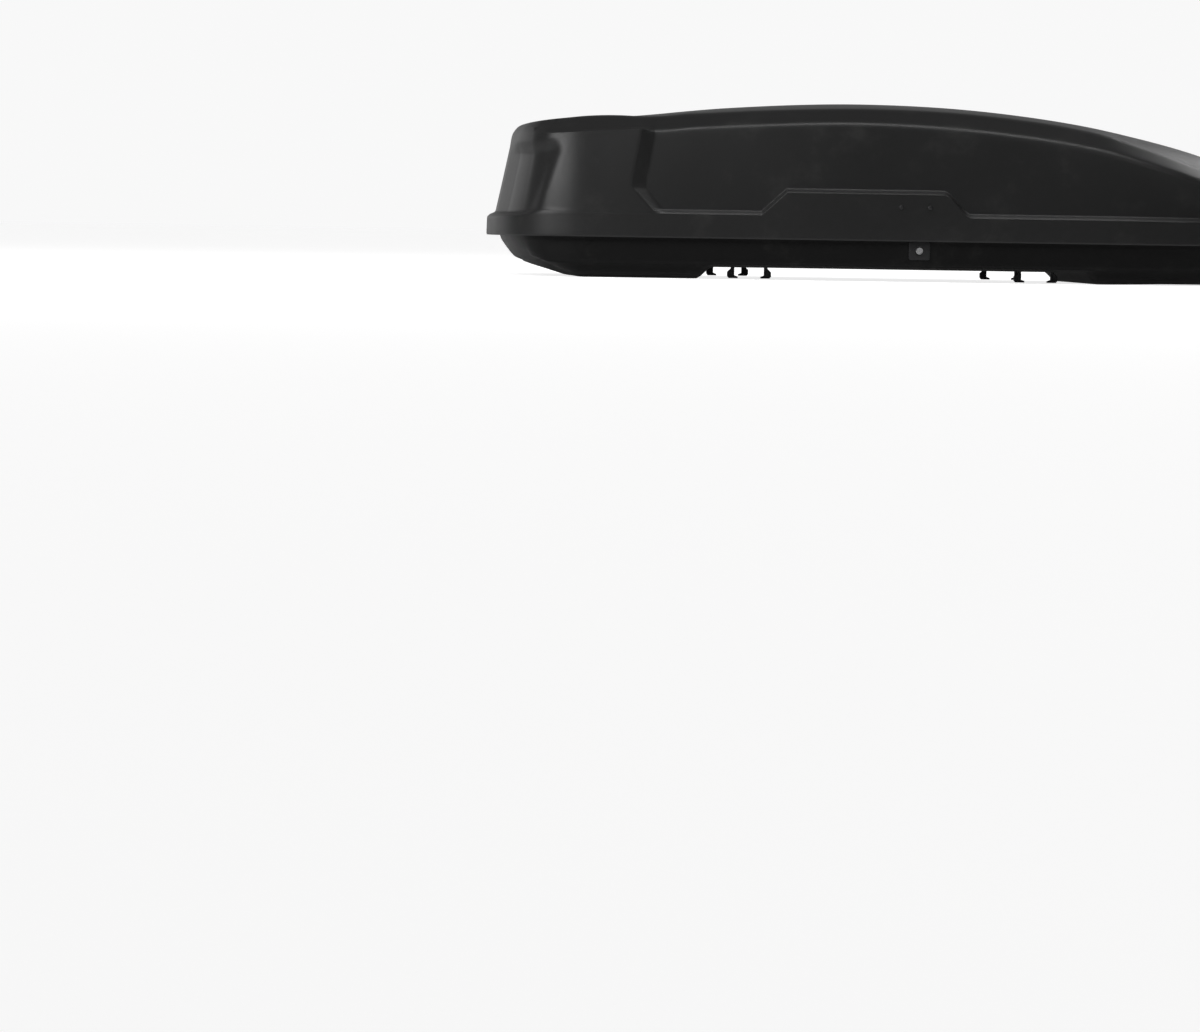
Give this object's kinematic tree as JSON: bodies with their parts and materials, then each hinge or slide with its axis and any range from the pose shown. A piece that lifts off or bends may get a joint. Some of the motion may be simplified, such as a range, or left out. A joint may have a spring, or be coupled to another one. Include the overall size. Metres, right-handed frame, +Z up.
{
  "type": "roof cargo box",
  "caption": "Hard-shell car roof cargo box that opens from either side, with sliding hinge bolts worked by key locks and hook clamps for crossbars.",
  "frame": {"origin": "centre of the box in plan, at the lowest moulding of the tray (its two deep ends)", "axes": "+X towards the nose, +Y to the car's left, +Z up"},
  "size_m": [2.1, 0.86, 0.4407],
  "materials": {
    "textured_black_abs": "fine grained black ABS",
    "smooth_black_abs": "smooth satin black ABS",
    "black_nylon": "moulded glass-filled nylon",
    "zinc_plated_steel": "zinc plated pressings",
    "chromed_zinc": "chromed die-cast key barrel",
    "aluminium": "mill finish pressed section"
  },
  "bodies": {
    "base": {"base_tray": "smooth_black_abs", "floor_rail_right": "zinc_plated_steel", "floor_rail_left": "zinc_plated_steel", "hinge_bracket_right_rear": "zinc_plated_steel", "hinge_bracket_right_middle": "zinc_plated_steel", "hinge_bracket_right_front": "zinc_plated_steel", "hinge_bracket_left_rear": "zinc_plated_steel", "hinge_bracket_left_middle": "zinc_plated_steel", "hinge_bracket_left_front": "zinc_plated_steel", "lock_escutcheon_right": "black_nylon", "lock_escutcheon_left": "black_nylon"},
    "lid": {"lid_shell": "textured_black_abs", "lid_rib_rear": "aluminium", "lid_rib_front": "aluminium", "lid_eye_right_rear": "zinc_plated_steel", "lid_eye_right_middle": "zinc_plated_steel", "lid_eye_right_front": "zinc_plated_steel", "lid_eye_left_rear": "zinc_plated_steel", "lid_eye_left_middle": "zinc_plated_steel", "lid_eye_left_front": "zinc_plated_steel", "rivet_right_1": "black_nylon", "rivet_right_2": "black_nylon", "rivet_left_1": "black_nylon", "rivet_left_2": "black_nylon"},
    "right_cradles": {"hinge_cradle_right_rear": "black_nylon", "hinge_cradle_right_middle": "black_nylon", "hinge_cradle_right_front": "black_nylon"},
    "left_cradles": {"hinge_cradle_left_rear": "black_nylon", "hinge_cradle_left_middle": "black_nylon", "hinge_cradle_left_front": "black_nylon"},
    "lock_barrel_right": {"lock_barrel_right": "chromed_zinc"},
    "lock_bar_right": {"lock_bar_right": "zinc_plated_steel"},
    "lock_barrel_left": {"lock_barrel_left": "chromed_zinc"},
    "lock_bar_left": {"lock_bar_left": "zinc_plated_steel"},
    "clamp_rear_right": {"clamp_carriage_rear_right": "black_nylon"},
    "clamp_rear_right_knob": {"clamp_knob_rear_right": "black_nylon"},
    "clamp_rear_right_jaw_fore": {"clamp_jaw_rear_right_fore": "black_nylon"},
    "clamp_rear_right_jaw_aft": {"clamp_jaw_rear_right_aft": "black_nylon"},
    "clamp_front_right": {"clamp_carriage_front_right": "black_nylon"},
    "clamp_front_right_knob": {"clamp_knob_front_right": "black_nylon"},
    "clamp_front_right_jaw_fore": {"clamp_jaw_front_right_fore": "black_nylon"},
    "clamp_front_right_jaw_aft": {"clamp_jaw_front_right_aft": "black_nylon"},
    "clamp_rear_left": {"clamp_carriage_rear_left": "black_nylon"},
    "clamp_rear_left_knob": {"clamp_knob_rear_left": "black_nylon"},
    "clamp_rear_left_jaw_fore": {"clamp_jaw_rear_left_fore": "black_nylon"},
    "clamp_rear_left_jaw_aft": {"clamp_jaw_rear_left_aft": "black_nylon"},
    "clamp_front_left": {"clamp_carriage_front_left": "black_nylon"},
    "clamp_front_left_knob": {"clamp_knob_front_left": "black_nylon"},
    "clamp_front_left_jaw_fore": {"clamp_jaw_front_left_fore": "black_nylon"},
    "clamp_front_left_jaw_aft": {"clamp_jaw_front_left_aft": "black_nylon"}
  },
  "joints": [
    {"name": "lid_opens_on_right", "type": "hinge", "parent": "base", "child": "left_cradles", "pos_m": [0, 0.385, 0.1], "axis": [1, 0, 0], "range_deg": [-50, 0]},
    {"name": "lid_opens_on_left", "type": "hinge", "parent": "left_cradles", "child": "lid", "pos_m": [0, -0.385, 0.1], "axis": [1, 0, 0], "range_deg": [0, 50]},
    {"name": "right_cradles_turn", "type": "hinge", "parent": "base", "child": "right_cradles", "pos_m": [0, -0.385, 0.1], "axis": [1, 0, 0], "range_deg": [0, 50]},
    {"name": "key_turns_right", "type": "hinge", "parent": "base", "child": "lock_barrel_right", "pos_m": [0, -0.3925, 0.0765], "axis": [0, -1, 0], "range_deg": [0, 90]},
    {"name": "bolts_slide_right", "type": "slide", "parent": "base", "child": "lock_bar_right", "axis": [1, 0, 0], "range_m": [0, 0.022]},
    {"name": "key_turns_left", "type": "hinge", "parent": "base", "child": "lock_barrel_left", "pos_m": [0, 0.3925, 0.0765], "axis": [0, -1, 0], "range_deg": [0, 90]},
    {"name": "bolts_slide_left", "type": "slide", "parent": "base", "child": "lock_bar_left", "axis": [1, 0, 0], "range_m": [0, 0.022]},
    {"name": "clamp_rear_right_slides", "type": "slide", "parent": "base", "child": "clamp_rear_right", "axis": [1, 0, 0], "range_m": [-0.03, 0.03]},
    {"name": "clamp_rear_right_knob_turns", "type": "hinge", "parent": "clamp_rear_right", "child": "clamp_rear_right_knob", "pos_m": [-0.408, -0.3, 0.0334], "axis": [0, 0, 1], "range_deg": [0, 180]},
    {"name": "clamp_rear_right_jaw_fore_swings", "type": "hinge", "parent": "clamp_rear_right", "child": "clamp_rear_right_jaw_fore", "pos_m": [-0.368, -0.3, 0.0485], "axis": [0, -1, 0], "range_deg": [0, 20]},
    {"name": "clamp_rear_right_jaw_aft_swings", "type": "hinge", "parent": "clamp_rear_right", "child": "clamp_rear_right_jaw_aft", "pos_m": [-0.448, -0.3, 0.0485], "axis": [0, 1, 0], "range_deg": [0, 20]},
    {"name": "clamp_front_right_slides", "type": "slide", "parent": "base", "child": "clamp_front_right", "axis": [1, 0, 0], "range_m": [-0.03, 0.03]},
    {"name": "clamp_front_right_knob_turns", "type": "hinge", "parent": "clamp_front_right", "child": "clamp_front_right_knob", "pos_m": [0.304, -0.3, 0.0334], "axis": [0, 0, 1], "range_deg": [0, 180]},
    {"name": "clamp_front_right_jaw_fore_swings", "type": "hinge", "parent": "clamp_front_right", "child": "clamp_front_right_jaw_fore", "pos_m": [0.344, -0.3, 0.0485], "axis": [0, -1, 0], "range_deg": [0, 20]},
    {"name": "clamp_front_right_jaw_aft_swings", "type": "hinge", "parent": "clamp_front_right", "child": "clamp_front_right_jaw_aft", "pos_m": [0.264, -0.3, 0.0485], "axis": [0, 1, 0], "range_deg": [0, 20]},
    {"name": "clamp_rear_left_slides", "type": "slide", "parent": "base", "child": "clamp_rear_left", "axis": [1, 0, 0], "range_m": [-0.03, 0.03]},
    {"name": "clamp_rear_left_knob_turns", "type": "hinge", "parent": "clamp_rear_left", "child": "clamp_rear_left_knob", "pos_m": [-0.408, 0.3, 0.0334], "axis": [0, 0, 1], "range_deg": [0, 180]},
    {"name": "clamp_rear_left_jaw_fore_swings", "type": "hinge", "parent": "clamp_rear_left", "child": "clamp_rear_left_jaw_fore", "pos_m": [-0.368, 0.3, 0.0485], "axis": [0, -1, 0], "range_deg": [0, 20]},
    {"name": "clamp_rear_left_jaw_aft_swings", "type": "hinge", "parent": "clamp_rear_left", "child": "clamp_rear_left_jaw_aft", "pos_m": [-0.448, 0.3, 0.0485], "axis": [0, 1, 0], "range_deg": [0, 20]},
    {"name": "clamp_front_left_slides", "type": "slide", "parent": "base", "child": "clamp_front_left", "axis": [1, 0, 0], "range_m": [-0.03, 0.03]},
    {"name": "clamp_front_left_knob_turns", "type": "hinge", "parent": "clamp_front_left", "child": "clamp_front_left_knob", "pos_m": [0.304, 0.3, 0.0334], "axis": [0, 0, 1], "range_deg": [0, 180]},
    {"name": "clamp_front_left_jaw_fore_swings", "type": "hinge", "parent": "clamp_front_left", "child": "clamp_front_left_jaw_fore", "pos_m": [0.344, 0.3, 0.0485], "axis": [0, -1, 0], "range_deg": [0, 20]},
    {"name": "clamp_front_left_jaw_aft_swings", "type": "hinge", "parent": "clamp_front_left", "child": "clamp_front_left_jaw_aft", "pos_m": [0.264, 0.3, 0.0485], "axis": [0, 1, 0], "range_deg": [0, 20]}
  ],
  "couplings": [
    {"joint": "right_cradles_turn", "follows": "lid_opens_on_left", "ratio": 1},
    {"joint": "key_turns_right", "follows": "bolts_slide_right", "rad_per_m": 71.39},
    {"joint": "key_turns_left", "follows": "bolts_slide_left", "rad_per_m": 71.39},
    {"joint": "clamp_rear_right_jaw_fore_swings", "follows": "clamp_rear_right_knob_turns", "ratio": 0.111},
    {"joint": "clamp_rear_right_jaw_aft_swings", "follows": "clamp_rear_right_knob_turns", "ratio": 0.111},
    {"joint": "clamp_front_right_jaw_fore_swings", "follows": "clamp_front_right_knob_turns", "ratio": 0.111},
    {"joint": "clamp_front_right_jaw_aft_swings", "follows": "clamp_front_right_knob_turns", "ratio": 0.111},
    {"joint": "clamp_rear_left_jaw_fore_swings", "follows": "clamp_rear_left_knob_turns", "ratio": 0.111},
    {"joint": "clamp_rear_left_jaw_aft_swings", "follows": "clamp_rear_left_knob_turns", "ratio": 0.111},
    {"joint": "clamp_front_left_jaw_fore_swings", "follows": "clamp_front_left_knob_turns", "ratio": 0.111},
    {"joint": "clamp_front_left_jaw_aft_swings", "follows": "clamp_front_left_knob_turns", "ratio": 0.111}
  ]
}
